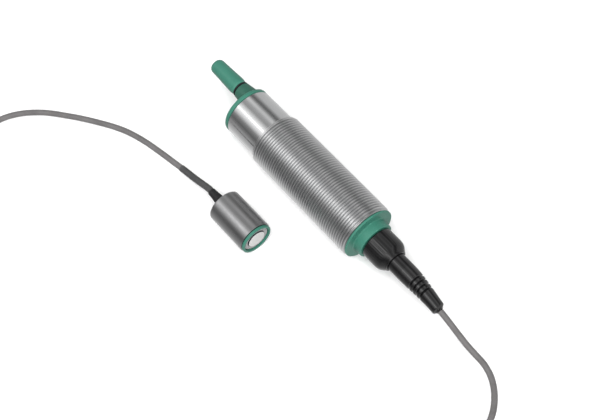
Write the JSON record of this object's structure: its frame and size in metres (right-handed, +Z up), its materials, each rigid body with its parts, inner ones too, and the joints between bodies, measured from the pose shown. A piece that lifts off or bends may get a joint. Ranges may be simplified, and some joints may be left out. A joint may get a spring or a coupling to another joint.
{
  "type": "ultrasonic distance sensor",
  "caption": "Ultrasonic distance sensor: threaded metal evaluation unit with plug-in rear fittings, and a separate cylindrical sensing head on a thin cable.",
  "frame": {"origin": "on the floor, under the middle of the unit and head without the loose cable", "axes": "+X along the evaluation unit towards its cable end, +Y away from the sensing head, +Z up"},
  "size_m": [0.2897, 0.2144, 0.03],
  "materials": {
    "steel": "nickel-plated, turned, satin to bright",
    "green_plastic": "moulded, satin",
    "dark_green_plastic": "moulded, satin",
    "black_plastic": "moulded, satin",
    "moulded_insert": "moulded, matt",
    "rubber_seal": "matt elastomer",
    "contact_gold": "gold-plated contacts",
    "circuit_board": "solder-mask laminate",
    "bare_aluminium": "drawn sheet",
    "light_guide": "translucent",
    "foam": "fine closed-cell foam",
    "transducer_white": "filled resin, matt",
    "piezo_ceramic": "fired, unglazed",
    "potting": "cast resin",
    "cable_jacket": "extruded jacket, matt",
    "cable_sleeve_black": "shrunk sleeve",
    "tie_strap": "strap"
  },
  "bodies": {
    "unit": {"barrel_tube": "steel", "rear_cap": "green_plastic", "rear_cap_seal": "rubber_seal", "front_flange": "green_plastic", "front_flange_seal": "rubber_seal", "m12_shell": "steel", "m12_insert": "moulded_insert", "m12_pin_1": "contact_gold", "m12_pin_2": "contact_gold", "m12_pin_3": "contact_gold", "m12_pin_4": "contact_gold", "m12_pin_5": "contact_gold", "plug_socket": "dark_green_plastic", "plug_socket_contacts": "moulded_insert", "led_window_left": "light_guide", "led_window_right": "light_guide", "main_board": "circuit_board", "board_holder_rear": "moulded_insert", "board_holder_front": "moulded_insert", "driver_transformer": "moulded_insert", "signal_processor": "moulded_insert", "shield_can": "bare_aluminium", "relay_driver": "moulded_insert", "buffer_capacitor": "bare_aluminium", "head_socket": "moulded_insert", "head_socket_pin_1": "contact_gold", "head_socket_pin_2": "contact_gold", "head_socket_pin_3": "contact_gold", "connector_body": "black_plastic", "cable_clamp": "steel", "bend_relief": "rubber_seal", "cable_in_connector": "cable_jacket", "head_tube": "steel", "head_bezel": "green_plastic", "decoupling_ring": "foam", "transducer_face": "transducer_white", "piezo_disc": "piezo_ceramic", "head_potting": "potting", "head_grommet": "rubber_seal", "cable_sleeve": "cable_sleeve_black", "cable_run_connector": "cable_jacket", "cable_run_head": "cable_jacket", "cable_coil": "cable_jacket", "coil_tie": "tie_strap"},
    "plug": {"program_plug": "green_plastic", "plug_seal": "rubber_seal", "plug_contacts": "moulded_insert", "plug_thermistor": "piezo_ceramic"},
    "ring": {"coupling_ring": "black_plastic"}
  },
  "joints": [
    {"name": "plug_pull", "type": "slide", "parent": "unit", "child": "plug", "axis": [-1, 0, 0], "range_m": [0, 0.012]},
    {"name": "coupling_ring_turn", "type": "hinge", "parent": "unit", "child": "ring", "pos_m": [0.04765, 0.01781, 0.015], "axis": [1, 0, 0], "range_deg": [0, 900]}
  ]
}
